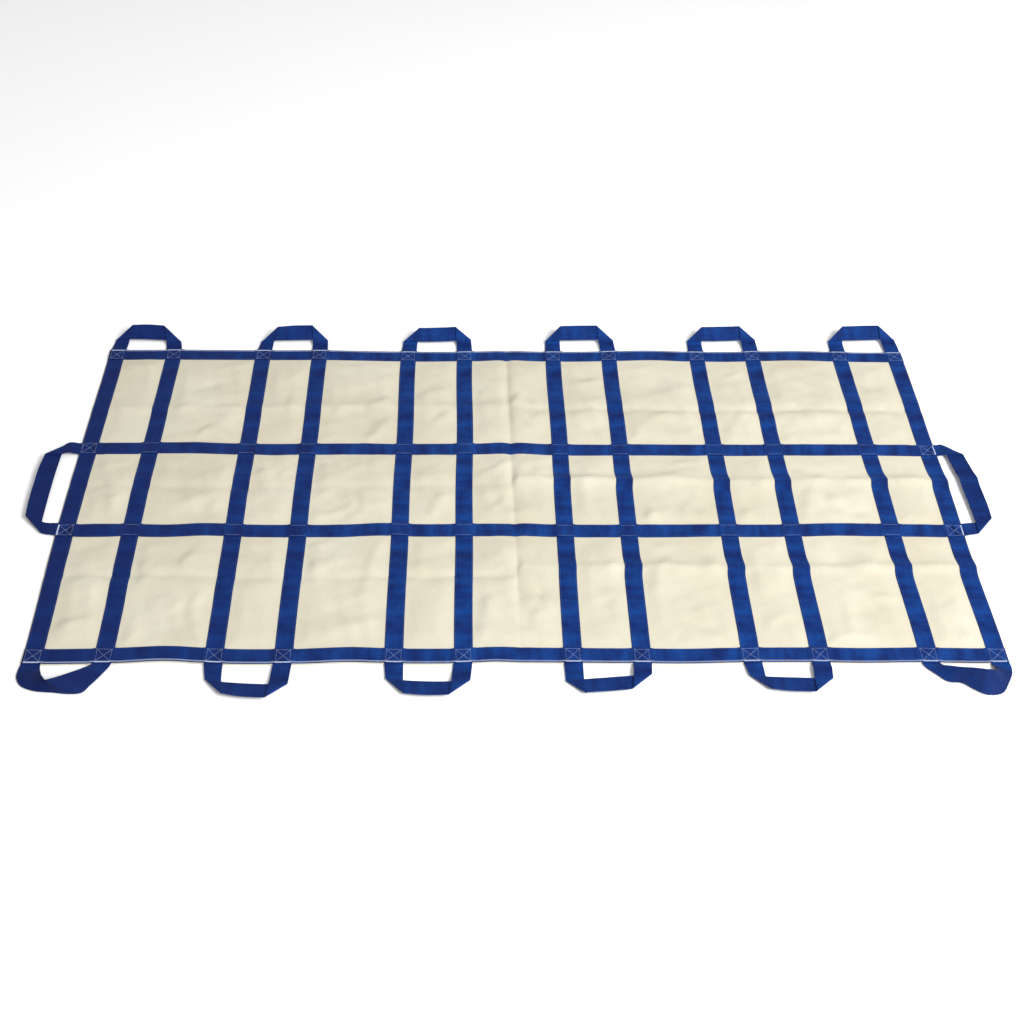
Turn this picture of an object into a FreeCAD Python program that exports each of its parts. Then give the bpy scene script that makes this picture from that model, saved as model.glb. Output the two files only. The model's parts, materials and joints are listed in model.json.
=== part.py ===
import FreeCAD, Part
import Sketcher
import os

# Patient transfer sheet: a canvas sheet carried by a grid of webbing straps, with twelve hand
# loops along its long sides and one at each short end. Millimetres, +Z up. The origin is at the
# middle of the sheet on the surface that it lies on, with +X along its length. The sheet folds
# over at its middle crease, x = 0, so the canvas and the long straps are made in two halves.

doc = FreeCAD.newDocument("transfer_sheet")

# Driving dimensions, in millimetres and degrees.
driving = {
    "webWidth": 38.0,      # width of all the webbing
    "webThick": 1.5,       # thickness of the webbing
    "clothThick": 1.0,     # thickness of the canvas
    "hemMargin": 2.0,      # canvas showing past the outermost straps
    "pairSpread": 140.0,   # centre to centre of the two cross straps of a pair
    "pairPitch": 361.0,    # centre to centre of neighbouring pairs
    "edgeRowY": 480.5,     # centre of an edge strap from the middle of the sheet
    "midRowY": 131.5,      # centre of a mid strap from the middle of the sheet
    "rampRun": 6.0,        # length over which a long strap climbs onto a cross strap
    "foldGap": 0.3,        # gap between the two halves at the crease
    "loopGap": 0.5,        # gap between the canvas edge and a hand loop
    "loopReach": 40.0,     # depth of the hand opening
    "farTilt": 35.0,       # how far the bars of the far loops stand up
    "nearTilt": 12.0,      # the same for the near loops
    "endTilt": 12.0,       # the same for the two end loops
    "boxSide": 30.0,       # side of a stitched box and of its cross
    "threadWide": 1.2,     # width of one line of stitching
    "threadHigh": 0.3,     # how far the stitching stands above the webbing
    "barWide": 2.4,        # width of the dense bar of stitching beside a box
    "overrun": 0.2,        # how far a mitre cut runs past its edge, as a part of that edge
}
pairsPerHalf = 3

# Positions and heights that several sub-parts share, as expressions on the sheet's cells.
lastPair = "Dims.pairPitch * %g" % (pairsPerHalf - 0.5)
strapEnd = lastPair + " + Dims.pairSpread / 2 + Dims.webWidth / 2"
clothEnd = strapEnd + " + Dims.hemMargin"
clothSide = "Dims.edgeRowY + Dims.webWidth / 2 + Dims.hemMargin"
lowLevel = "Dims.clothThick"
midLevel = "Dims.clothThick + Dims.webThick"
topLevel = "Dims.clothThick + 2 * Dims.webThick"
halfWeb = "Dims.webWidth / 2"


def fillSheet():
    sheet = doc.addObject("Spreadsheet::Sheet", "Dims")
    for row, (alias, value) in enumerate(driving.items(), start=1):
        sheet.set("A%d" % row, alias)
        sheet.set("B%d" % row, str(value))
        sheet.setAlias("B%d" % row, alias)
    doc.recompute()


def place(thing, x, y, z="0", turn=0.0):
    # Puts a sub-part at x, y, z, turned about +Z by turn degrees.
    upright = FreeCAD.Rotation(FreeCAD.Vector(0, 0, 1), turn)
    thing.Placement = FreeCAD.Placement(FreeCAD.Vector(), upright)
    for axis, expression in (("x", x), ("y", y), ("z", z)):
        thing.setExpression(".Placement.Base." + axis, expression)


def strip(label, length, width, height, x, y, z):
    # A flat piece of cloth or webbing, from its lowest corner.
    box = doc.addObject("Part::Box", label)
    box.Label = label
    box.setExpression("Length", length)
    box.setExpression("Width", width)
    box.setExpression("Height", height)
    place(box, x, y, z)
    return box


def newBody(label):
    body = doc.addObject("PartDesign::Body", label)
    body.Label = label
    return body


def originPlane(body, role):
    return [feature for feature in body.Origin.OriginFeatures if feature.Role == role][0]


def newSketch(body, name, role, level=None):
    sketch = body.newObject("Sketcher::SketchObject", name)
    sketch.AttachmentSupport = (originPlane(body, role), [""])
    sketch.MapMode = "FlatFace"
    if level:
        sketch.setExpression(".AttachmentOffset.Base.z", level)
    return sketch


def drawOutline(sketch, corners):
    # Draws a closed outline with straight sides, each corner held at its own two expressions.
    count = len(corners)
    first = sketch.GeometryCount
    turnStep = FreeCAD.Rotation(FreeCAD.Vector(0, 0, 1), 360.0 / count)
    point = FreeCAD.Vector(10, 0, 0)
    for corner in range(count):
        following = turnStep.multVec(point)
        sketch.addGeometry(Part.LineSegment(point, following), False)
        point = following
    for corner, (x, y) in enumerate(corners):
        line = first + corner
        previous = first + (corner - 1) % count
        sketch.addConstraint(Sketcher.Constraint("Coincident", previous, 2, line, 1))
        for kind, expression in (("DistanceX", x), ("DistanceY", y)):
            held = sketch.addConstraint(Sketcher.Constraint(kind, -1, 1, line, 1, 1.0))
            sketch.setExpression("Constraints[%d]" % held, expression)


def pad(body, sketch, length, midplane=False):
    feature = body.newObject("PartDesign::Pad", sketch.Name + "_pad")
    feature.Profile = sketch
    feature.setExpression("Length", length)
    feature.SideType = "Symmetric" if midplane else "One side"
    return feature


def cut(body, sketch):
    # Cuts a sketch right through the body both ways, and checks that material went.
    doc.recompute()
    before = body.Shape.Volume
    feature = body.newObject("PartDesign::Pocket", sketch.Name + "_cut")
    feature.Profile = sketch
    feature.SideType = "Symmetric"
    feature.Type = "ThroughAll"
    doc.recompute()
    if not body.Shape.Volume < before:
        raise RuntimeError(sketch.Name + " cut nothing")
    return feature


def repeat(body, features, name, length, occurrences):
    # Repeats features along the body's X axis.
    pattern = body.newObject("PartDesign::LinearPattern", name)
    pattern.Originals = features
    axis = [feature for feature in body.Origin.OriginFeatures if feature.Role == "X_Axis"][0]
    pattern.Direction = (axis, [""])
    pattern.setExpression("Length", length)
    pattern.Occurrences = occurrences
    body.Tip = pattern
    return pattern


def makeCanvas():
    span = clothEnd + " - Dims.foldGap / 2"
    width = "2 * (%s)" % clothSide
    low = "-(%s)" % clothSide
    left = "-(%s)" % clothEnd
    return [
        strip("canvas_left", span, width, "Dims.clothThick", left, low, "0"),
        strip("canvas_right", span, width, "Dims.clothThick", "Dims.foldGap / 2", low, "0"),
    ]


def strapCentre(pair, side):
    # Centre of one cross strap of a pair. Pair 0 is the first one right of the crease and pair -1
    # the first one left of it. Side is -1 for a pair's left strap and 1 for its right one.
    return "(Dims.pairPitch * %g + %d * Dims.pairSpread / 2)" % (pair + 0.5, side)


def makeCrossStraps():
    # They lie straight on the canvas, under the long straps, from side to side.
    straps = []
    length = "2 * (%s)" % clothSide
    for number in range(4 * pairsPerHalf):
        label = "cross_strap_%02d" % (number + 1)
        pair, second = divmod(number, 2)
        x = "%s - %s" % (strapCentre(pair - pairsPerHalf, 2 * second - 1), halfWeb)
        straps.append(strip(label, "Dims.webWidth", length, "Dims.webThick",
                            x, "-(%s)" % clothSide, lowLevel))
    return straps


def makeLongStrap(label, y, turn):
    # Half of a long strap: flat on the canvas, with a hump over each cross strap that it passes.
    body = newBody(label)
    base = newSketch(body, label + "_base", "XZ_Plane")
    drawOutline(base, [("Dims.foldGap / 2", lowLevel), (strapEnd, lowLevel),
                       (strapEnd, midLevel), ("Dims.foldGap / 2", midLevel)])
    pad(body, base, "Dims.webWidth", midplane=True)
    humps = []
    for side, sign in (("inner", -1), ("outer", 1)):
        centre = strapCentre(0, sign)
        for part, foot, crown in (("hump", midLevel, topLevel), ("channel", lowLevel, midLevel)):
            sketch = newSketch(body, "_".join((label, side, part)), "XZ_Plane")
            drawOutline(sketch, [("%s - %s - Dims.rampRun" % (centre, halfWeb), foot),
                                 ("%s + %s + Dims.rampRun" % (centre, halfWeb), foot),
                                 ("%s + %s" % (centre, halfWeb), crown),
                                 ("%s - %s" % (centre, halfWeb), crown)])
            if part == "hump":
                humps.append(pad(body, sketch, "Dims.webWidth", midplane=True))
            else:
                humps.append(cut(body, sketch))
    repeat(body, humps, label + "_humps", "Dims.pairPitch * %d" % (pairsPerHalf - 1), pairsPerHalf)
    trim = newSketch(body, label + "_trim", "XZ_Plane")
    beyond = strapEnd + " + 2 * Dims.rampRun"
    drawOutline(trim, [(strapEnd, "0"), (beyond, "0"),
                       (beyond, "2 * (%s)" % topLevel), (strapEnd, "2 * (%s)" % topLevel)])
    cut(body, trim)
    place(body, "0", y, "0", turn)
    return body


def makeLongStraps():
    rows = (("far_edge", "Dims.edgeRowY"), ("far_mid", "Dims.midRowY"),
            ("near_mid", "-Dims.midRowY"), ("near_edge", "-Dims.edgeRowY"))
    straps = []
    for row, y in rows:
        straps.append(makeLongStrap(row + "_strap_left", y, 180.0))
        straps.append(makeLongStrap(row + "_strap_right", y, 0.0))
    return straps


def makeLoop(label, spread, tilt, x, y, z, turn):
    # A hand loop in its own frame: the canvas edge is along X, and the loop reaches out along +Y.
    # Two legs lie flat, and the bar across their ends stands up by the tilt.
    body = newBody(label)
    barRun = "Dims.webWidth * cos(%s)" % tilt
    barRise = "Dims.webWidth * sin(%s)" % tilt
    skinRun = "Dims.webThick * sin(%s)" % tilt
    skinRise = "Dims.webThick * cos(%s)" % tilt
    bendRun = "Dims.webThick * tan(%s / 2)" % tilt
    side = newSketch(body, label + "_side", "YZ_Plane")
    drawOutline(side, [("Dims.loopGap", "0"),
                       ("Dims.loopReach", "0"),
                       ("Dims.loopReach + " + barRun, barRise),
                       ("Dims.loopReach + %s - %s" % (barRun, skinRun),
                        "%s + %s" % (barRise, skinRise)),
                       ("Dims.loopReach - " + bendRun, "Dims.webThick"),
                       ("Dims.loopGap", "Dims.webThick")])
    pad(body, side, spread + " + Dims.webWidth", midplane=True)
    opening = newSketch(body, label + "_opening", "XY_Plane")
    clear = "(%s - Dims.webWidth) / 2" % spread
    drawOutline(opening, [("-" + clear, "-Dims.loopGap"), (clear, "-Dims.loopGap"),
                          (clear, "Dims.loopReach"), ("-" + clear, "Dims.loopReach")])
    cut(body, opening)
    for name, sign in (("start", -1), ("finish", 1)):
        # The webbing folds over at 45 degrees, which takes the outer corner away. The cut runs on
        # a little past both ends of that slanted edge.
        mitre = newSketch(body, "_".join((label, name, "mitre")), "XY_Plane")
        outer = "%d * (%s / 2 + Dims.webWidth * (0.5 + Dims.overrun))" % (sign, spread)
        inner = "%d * (%s / 2 - Dims.webWidth * (0.5 + Dims.overrun))" % (sign, spread)
        low = "Dims.loopReach - Dims.overrun * " + barRun
        high = "Dims.loopReach + (1 + Dims.overrun) * " + barRun
        drawOutline(mitre, [(inner, high), (outer, low), (outer, high)])
        cut(body, mitre)
    place(body, x, y, z, turn)
    return body


def makeLoops():
    loops = []
    rows = (("far", "Dims.farTilt", clothSide, 0.0),
            ("near", "Dims.nearTilt", "-(%s)" % clothSide, 180.0))
    for row, tilt, y, turn in rows:
        for pair in range(2 * pairsPerHalf):
            x = "Dims.pairPitch * %g" % (pair - pairsPerHalf + 0.5)
            label = "%s_hand_loop_%d" % (row, pair + 1)
            loops.append(makeLoop(label, "Dims.pairSpread", tilt, x, y, lowLevel, turn))
    ends = (("left", "-(%s)" % clothEnd, 90.0), ("right", clothEnd, -90.0))
    for end, x, turn in ends:
        label = end + "_end_hand_loop"
        loops.append(makeLoop(label, "(2 * Dims.midRowY)", "Dims.endTilt",
                              x, "0", midLevel, turn))
    return loops


def boxCorners():
    # One stitched box: its outside, then the four triangles that its cross leaves open.
    half = "Dims.boxSide / 2"
    side = "(%s - Dims.threadWide)" % half
    tip = "(Dims.threadWide * sqrt(0.5))"
    base = "(%s - %s)" % (side, tip)
    outside = [("-" + half, "-" + half), (half, "-" + half), (half, half), ("-" + half, half)]
    return [
        outside,
        [("0", tip), (base, side), ("-" + base, side)],
        [("0", "-" + tip), ("-" + base, "-" + side), (base, "-" + side)],
        [(tip, "0"), (side, "-" + base), (side, base)],
        [("-" + tip, "0"), ("-" + side, base), ("-" + side, "-" + base)],
    ]


def shifted(corners, x, y):
    return [("%s + (%s)" % (x, across), "%s + (%s)" % (y, along)) for across, along in corners]


def rectangle(x, y, length, width):
    # Corners of a rectangle about its middle.
    return [("%s %s %s / 2" % (x, sx, length), "%s %s %s / 2" % (y, sy, width))
            for sx, sy in (("-", "-"), ("+", "-"), ("+", "+"), ("-", "+"))]


def makeBoxStitches(label, turn):
    # A box with a cross on every crossing of an edge strap and on the outermost crossing of
    # each mid strap, each with a dense bar of stitching on its outer side.
    body = newBody(label)
    edge = newSketch(body, label + "_edge", "XY_Plane", topLevel)
    barOffset = "(Dims.boxSide / 2 + Dims.barWide)"
    for side in (-1, 1):
        x = strapCentre(0, side)
        for outward in (-1, 1):
            for corners in boxCorners():
                drawOutline(edge, shifted(corners, x, "%d * Dims.edgeRowY" % outward))
            barRow = "%d * (Dims.edgeRowY + %s)" % (outward, barOffset)
            drawOutline(edge, rectangle(x, barRow, "Dims.boxSide", "Dims.barWide"))
    edgePad = pad(body, edge, "Dims.threadHigh")
    repeat(body, [edgePad], label + "_rows", "Dims.pairPitch * %d" % (pairsPerHalf - 1),
           pairsPerHalf)
    end = newSketch(body, label + "_end", "XY_Plane", topLevel)
    x = strapCentre(pairsPerHalf - 1, 1)
    for outward in (-1, 1):
        row = "%d * Dims.midRowY" % outward
        for corners in boxCorners():
            drawOutline(end, shifted(corners, x, row))
        drawOutline(end, rectangle("%s + %s" % (x, barOffset), row,
                                   "Dims.barWide", "Dims.boxSide"))
    pad(body, end, "Dims.threadHigh")
    place(body, "0", "0", "0", turn)
    return body


def makeRowStitches(label, turn):
    # Two rows of stitching along a mid strap's edges on each of its other crossings.
    body = newBody(label)
    paired = newSketch(body, label + "_paired", "XY_Plane", topLevel)
    single = newSketch(body, label + "_single", "XY_Plane", topLevel)
    outermost = strapCentre(pairsPerHalf - 1, -1)
    for sketch, centres in ((paired, [strapCentre(0, -1), strapCentre(0, 1)]),
                            (single, [outermost])):
        for x in centres:
            for row in (-1, 1):
                for edge in (-1, 1):
                    y = "%d * Dims.midRowY + %d * Dims.boxSide / 2" % (row, edge)
                    drawOutline(sketch, rectangle(x, y, "Dims.boxSide", "Dims.threadWide"))
    pairedPad = pad(body, paired, "Dims.threadHigh")
    repeat(body, [pairedPad], label + "_rows", "Dims.pairPitch * %d" % (pairsPerHalf - 2),
           pairsPerHalf - 1)
    pad(body, single, "Dims.threadHigh")
    place(body, "0", "0", "0", turn)
    return body


def makeStitches():
    stitches = []
    for half, turn in (("left", 180.0), ("right", 0.0)):
        stitches.append(makeBoxStitches("box_stitches_" + half, turn))
        stitches.append(makeRowStitches("row_stitches_" + half, turn))
    return stitches


def checkDocument(parts):
    broken = [thing.Name for thing in doc.Objects
              if {"Invalid", "Error"} & set(thing.State)]
    broken += [thing.Label for thing in parts
               if thing.Shape.isNull() or not thing.Shape.isValid()]
    if broken:
        raise RuntimeError("failed: " + ", ".join(broken))


fillSheet()
parts = makeCanvas() + makeCrossStraps() + makeLongStraps() + makeLoops() + makeStitches()
doc.recompute()
checkDocument(parts)

os.makedirs("parts", exist_ok=True)
for thing in parts:
    thing.Shape.exportStep("parts/%s.step" % thing.Label)
print(len(parts), "sub-parts written")
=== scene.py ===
import json
import math

import bmesh
import bpy
import numpy as np
from mathutils import Matrix, Vector


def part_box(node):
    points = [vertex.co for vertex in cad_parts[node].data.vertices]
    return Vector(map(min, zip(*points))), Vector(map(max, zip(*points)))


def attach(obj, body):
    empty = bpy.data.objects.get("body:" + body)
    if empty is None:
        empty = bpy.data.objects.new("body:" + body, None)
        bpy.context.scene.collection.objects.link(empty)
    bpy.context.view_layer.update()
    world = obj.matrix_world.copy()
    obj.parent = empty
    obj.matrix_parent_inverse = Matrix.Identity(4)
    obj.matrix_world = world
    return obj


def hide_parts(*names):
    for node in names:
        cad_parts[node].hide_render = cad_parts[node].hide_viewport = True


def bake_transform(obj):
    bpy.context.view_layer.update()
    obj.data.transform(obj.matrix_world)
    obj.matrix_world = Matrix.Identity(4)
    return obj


# A patient transfer sheet laid out on a pale floor: canvas, blue webbing sewn on it, hand loops.

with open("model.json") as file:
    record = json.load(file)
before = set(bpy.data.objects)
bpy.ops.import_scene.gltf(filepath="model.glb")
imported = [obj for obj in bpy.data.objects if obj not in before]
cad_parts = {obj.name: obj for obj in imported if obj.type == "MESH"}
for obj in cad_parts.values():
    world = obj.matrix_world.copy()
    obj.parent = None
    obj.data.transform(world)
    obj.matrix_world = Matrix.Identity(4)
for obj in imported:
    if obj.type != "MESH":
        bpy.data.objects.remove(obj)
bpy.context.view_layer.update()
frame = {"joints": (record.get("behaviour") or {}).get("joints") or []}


def nodeBox(name):
    low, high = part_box(name)
    return np.array(low), np.array(high)


def middleOf(name, axis):
    low, high = nodeBox(name)
    return float(low[axis] + high[axis]) / 2


canvasLow, canvasHigh = nodeBox("canvas_left")
strapLow, strapHigh = nodeBox("cross_strap_01")
clothEnd = -float(canvasLow[0])
clothSide = float(canvasHigh[1])
clothThick = float(canvasHigh[2])
webWidth = float(strapHigh[0] - strapLow[0])
webLift = float(strapHigh[2] - strapLow[2])  # what one layer of webbing adds to the stack
webThick = webLift - 0.0001  # a hair thinner, so that stacked layers never share a face
halfWeb = webWidth / 2

crossNames = ["cross_strap_%02d" % number for number in range(1, 13)]
crossCentres = [middleOf(name, 0) for name in crossNames]
rowNames = ("far_edge", "far_mid", "near_mid", "near_edge")
rowCentres = {row: middleOf(row + "_strap_right", 1) for row in rowNames}
strapEnd = max(crossCentres) + halfWeb


def smooth(value):
    value = np.clip(value, 0.0, 1.0)
    return value * value * (3 - 2 * value)


# How the cloth lies. Lengths are in metres.
lay = {
    "seed": 12,
    "columns": 663,  # points of the grid that holds the lay-out, about 3 mm apart
    "rows": 335,
    "rest": 0.0006,  # clearance over the floor
    "creaseSpread": 0.013,
    "creaseRound": 0.003,  # how far the top of a crease is rounded
    "creaseSkirt": 0.050,  # distance over which the cloth comes down again beside a valley
    "middleCrease": 0.0,  # x of the crease across the middle
    "middleDepth": 0.0058,
    "middleSpread": 0.011,
    "middleSkirt": 0.050,
    "crossJog": 0.0026,  # how far the cross straps step aside where a crease stands up
    "wanderAcross": 0.0010,
    "wanderAlong": 0.0016,
    "swell": 0.0040,
    "crumple": 0.0012,  # the small unevenness all over the cloth
    "pucker": 0.00035,
    "puckerLength": 0.021,
    "sewnDown": 0.034,  # distance from a strap at which the cloth is free to wrinkle
    "underStraps": 0.30,  # share of the wrinkling that is left under the straps
    "hemLift": 0.0008,  # the folded hem raises the edge by this much
    "hemWidth": 0.013,
    "wideWrinkles": 13,  # for each wide panel
    "narrowWrinkles": 6,
}

# The creases along the length: their y on the left and on the right half, then their height on
# each, negative for a valley. The sheet was folded across the middle first, so they change there.
creaseRows = ((0.277, 0.272, 0.0046, -0.0090), (0.006, 0.025, -0.0050, 0.0085),
              (-0.268, -0.241, -0.0065, 0.0078))

# How far the cross straps are drawn in along the near side: places along X and shifts there.
nearPull = ((-1.0, 0.010), (-0.80, 0.009), (-0.45, 0.003), (0.0, 0.0), (0.45, -0.004), (1.0, -0.005))

# Where the long straps wander: the strap, x, the length of the stretch and its shift along Y in
# millimetres. The cloth there moves by three quarters of it, and lifts where the shift is positive.
arches = (
    ("far_edge", -0.93, 0.17, -6), ("far_edge", -0.18, 0.20, -8), ("far_edge", 0.12, 0.12, -3),
    ("far_edge", 0.36, 0.09, 5), ("far_edge", 0.72, 0.10, 5), ("far_mid", -0.72, 0.10, 3),
    ("near_mid", -0.77, 0.06, -4), ("near_mid", -0.66, 0.06, 5), ("near_mid", -0.39, 0.06, -3),
    ("near_mid", -0.29, 0.06, 4), ("near_mid", 0.72, 0.10, 2), ("near_edge", -0.71, 0.07, 8),
    ("near_edge", -0.34, 0.06, 5), ("near_edge", -0.05, 0.04, 4), ("near_edge", -0.20, 0.16, -3),
    ("near_edge", 0.35, 0.08, -4), ("near_edge", 0.71, 0.08, -5), ("near_edge", 0.93, 0.14, -6),
)


def waves(x, y, seed, count, shortest, longest, heading=0.0, spread=math.pi):
    # A smooth pattern of crossing waves, from about -1 to 1.
    random = np.random.default_rng(seed)
    total = np.zeros_like(x)
    for _ in range(count):
        length = shortest * (longest / shortest) ** random.random()
        angle = heading + spread * (random.random() * 2 - 1)
        phase = random.random() * 2 * math.pi
        along = x * math.cos(angle) + y * math.sin(angle)
        total += np.sin(2 * math.pi * along / length + phase)
    return total / math.sqrt(count / 2) / 1.6


def creaseShape(distance, spread):
    # A ridge with a narrow, slightly rounded top.
    top = lay["creaseRound"]
    return np.exp(-(np.sqrt(distance ** 2 + top ** 2) - top) / spread)


def valleyShape(distance, spread, skirt):
    return np.exp(-(distance / skirt) ** 2) - creaseShape(distance, spread)


def strapDistance(x, y):
    # Distance from the nearest strap's edge, 0 on a strap.
    across = np.min([np.abs(x - centre) for centre in crossCentres], axis=0)
    along = np.min([np.abs(y - centre) for centre in rowCentres.values()], axis=0)
    return np.maximum(np.minimum(across, along) - halfWeb, 0.0)


wrinkle = {
    "widePanel": 0.18,  # panels longer than this have the larger number of wrinkles
    "uprights": 0.25,  # share of wrinkles that run across the sheet
    "uprightHeading": (1.45, 0.25),  # middle and spread, in radians from the sheet's length
    "slantHeading": (0.55, 0.40),
    "length": (0.016, 0.055),
    "steepSide": (0.0065, 0.0115),
    "gentleSide": (1.5, 2.8),  # as a multiple of the steep side
    "rise": (-0.0014, 0.0032),
    "bend": 6.0,
}


def panelWrinkles(x, y):
    # Soft ridges in every panel, each steeper on one side, most of them slanting.
    random = np.random.default_rng(lay["seed"])
    height = np.zeros_like(x)
    columns, rows = sorted(crossCentres), sorted(rowCentres.values())
    for left, right in zip(columns[:-1], columns[1:]):
        for near, far in zip(rows[:-1], rows[1:]):
            isWide = right - left > wrinkle["widePanel"]
            for _ in range(lay["wideWrinkles"] if isWide else lay["narrowWrinkles"]):
                centreX = random.uniform(left + halfWeb, right - halfWeb)
                centreY = random.uniform(near + halfWeb, far - halfWeb)
                isUpright = random.random() < wrinkle["uprights"]
                heading = random.normal(*wrinkle["uprightHeading" if isUpright else "slantHeading"])
                length = random.uniform(*wrinkle["length"])
                steep = random.uniform(*wrinkle["steepSide"])
                gentle = steep * random.uniform(*wrinkle["gentleSide"])
                rise = random.uniform(*wrinkle["rise"]) * (1.12 - 0.25 * centreX - 0.3 * centreY)
                bend = random.normal(0.0, wrinkle["bend"])
                alongIt = (x - centreX) * math.cos(heading) + (y - centreY) * math.sin(heading)
                aside = (y - centreY) * math.cos(heading) - (x - centreX) * math.sin(heading)
                aside = aside - bend * alongIt ** 2
                width = np.where(aside > 0, steep, gentle)
                height += rise * np.exp(-(alongIt / length) ** 2 - (aside / width) ** 2)
    return height


def shiftAt(x, y):
    # How far the cloth at (x, y) lies from its drawn place: shifts along X, Y and Z.
    # The numbers given to waves are a seed, a count, and the shortest and the longest wave.
    free = smooth(strapDistance(x, y) / lay["sewnDown"])
    free = lay["underStraps"] + (1 - lay["underStraps"]) * free
    swell = 0.5 + 0.5 * waves(x, y, 3, 8, 0.14, 0.40)
    crumple = 0.7 * waves(x, y, 71, 9, 0.035, 0.08) + 1.4 * waves(x, y, 73, 9, 0.06, 0.14)
    crumple = crumple * (0.8 + 0.5 * waves(x, y, 79, 5, 0.15, 0.4))
    height = free * (panelWrinkles(x, y) + lay["swell"] * np.clip(swell, 0, 1.2)
                     + lay["crumple"] * (crumple + 1.6))
    edgeOf = np.exp(-strapDistance(x, y) / 0.012) * (1 - np.exp(-strapDistance(x, y) / 0.002))
    ripple = np.sin(2 * math.pi * (x + y) / lay["puckerLength"] + 2.5 * waves(x, y, 17, 5, 0.1, 0.3))
    height += lay["pucker"] * (1 + ripple) * edgeOf

    strength = 0.76 + 0.24 * waves(x, y, 31, 5, 0.25, 0.6)
    middle = lay["middleCrease"] - 0.006 * np.sin(y * 3.4 + 0.3)
    side = smooth((x - middle) / 0.03 + 0.5)
    shiftX = lay["wanderAlong"] * waves(x * 0.4, y, 61, 6, 0.24, 0.70, heading=1.57, spread=0.5)
    shiftX += np.interp(x, *zip(*nearPull)) * smooth((-y - 0.1) / 0.4)
    for number, (leftRow, rightRow, leftHeight, rightHeight) in enumerate(creaseRows):
        bend = 0.004 * waves(x, np.full_like(x, leftRow), 40 + number, 4, 0.5, 1.1)
        row = leftRow + (rightRow - leftRow) * side
        crease = leftHeight + (rightHeight - leftHeight) * side
        ridge = creaseShape(y - row - bend, lay["creaseSpread"])
        valley = valleyShape(y - row - bend, lay["creaseSpread"], lay["creaseSkirt"])
        height += strength * np.where(crease > 0, ridge, -valley) * crease
        outwards = smooth(x / 0.3) * (crease > 0)
        shiftX += lay["crossJog"] * outwards * np.exp(-((y - row - 0.004) / 0.018) ** 2)
    depth = lay["middleDepth"] * (0.75 + 0.5 * y / clothSide)
    height += depth * valleyShape(x - middle, lay["middleSpread"], lay["middleSkirt"])

    shiftY = lay["wanderAcross"] * waves(x, y * 0.4, 51, 6, 0.30, 0.85, heading=0.0, spread=0.5)
    for row, place, length, amount in arches:
        reach = np.exp(-((x - place) / length) ** 2 - ((y - rowCentres[row]) / 0.05) ** 2)
        shiftY += 0.75 * amount / 1000 * reach
        height += max(amount, 0) * 0.35 / 1000 * reach

    toEdge = np.minimum(clothEnd - np.abs(x), clothSide - np.abs(y))
    fade = smooth(toEdge / 0.09)
    height = np.maximum(height * (0.35 + 0.65 * fade), 0)
    height += lay["hemLift"] * smooth(1 - toEdge / (2.2 * lay["hemWidth"])) + lay["rest"]
    return np.stack([shiftX, shiftY, height], axis=-1)


fieldX = np.linspace(-clothEnd, clothEnd, lay["columns"])
fieldY = np.linspace(-clothSide, clothSide, lay["rows"])
gridX, gridY = np.meshgrid(fieldX, fieldY, indexing="ij")
field = shiftAt(gridX, gridY)


def laid(points):
    # Moves points given in the drawn, flat frame to where the laid-out cloth carries them.
    points = np.asarray(points, float)
    column = np.clip((points[..., 0] - fieldX[0]) / (fieldX[1] - fieldX[0]), 0, len(fieldX) - 1.001)
    row = np.clip((points[..., 1] - fieldY[0]) / (fieldY[1] - fieldY[0]), 0, len(fieldY) - 1.001)
    i, j = column.astype(int), row.astype(int)
    a, b = (column - i)[..., None], (row - j)[..., None]
    near = field[i, j] * (1 - a) + field[i + 1, j] * a
    far = field[i, j + 1] * (1 - a) + field[i + 1, j + 1] * a
    return points + near * (1 - b) + far * b


print("lay-out ready")


def newMaterial(name):
    material = bpy.data.materials.new(name)
    material.use_nodes = True
    return material, material.node_tree, material.node_tree.nodes["Principled BSDF"]


def setInputs(tree, node, values):
    # Gives each socket, by name or number, its value or the output that feeds it.
    for socket, value in values.items():
        if hasattr(value, "is_output"):
            tree.links.new(value, node.inputs[socket])
        else:
            node.inputs[socket].default_value = value


def addNode(tree, kind, values=(), **settings):
    node = tree.nodes.new(kind)
    for key, value in settings.items():
        setattr(node, key, value)
    setInputs(tree, node, dict(values))
    return node


def mathNode(tree, operation, first, second=None):
    values = {0: first} if second is None else {0: first, 1: second}
    return addNode(tree, "ShaderNodeMath", values, operation=operation).outputs[0]


def colourMix(tree, share, first, second):
    # Inputs 0, 6 and 7 are the share and the two colours, and output 2 is the mixed colour.
    return addNode(tree, "ShaderNodeMix", {0: share, 6: first, 7: second}, data_type="RGBA").outputs[2]


def remapped(tree, value, before, after=(0.0, 1.0)):
    # Stretches a value from one range onto another, and clamps it there.
    node = addNode(tree, "ShaderNodeMapRange",
                   {"Value": value, "From Min": before[0], "From Max": before[1],
                    "To Min": after[0], "To Max": after[1]})
    return node.outputs["Result"]


def stretched(tree, source, scale):
    return addNode(tree, "ShaderNodeMapping", {"Vector": source, "Scale": scale}).outputs["Vector"]


def noise(tree, vector, scale, detail=3.0, rough=0.55):
    node = addNode(tree, "ShaderNodeTexNoise",
                   {"Vector": vector, "Scale": scale, "Detail": detail, "Roughness": rough})
    return node.outputs["Fac"]


def threads(tree, vector, direction, spacing, distortion=0.0):
    # Bands across the given direction, one every spacing metres.
    node = addNode(tree, "ShaderNodeTexWave",
                   {"Vector": vector, "Scale": 2 * math.pi / 20 / spacing,
                    "Distortion": distortion, "Detail": 1.0, "Detail Scale": 0.6},
                   wave_type="BANDS", bands_direction=direction, wave_profile="SIN")
    return node.outputs["Fac"]


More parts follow.
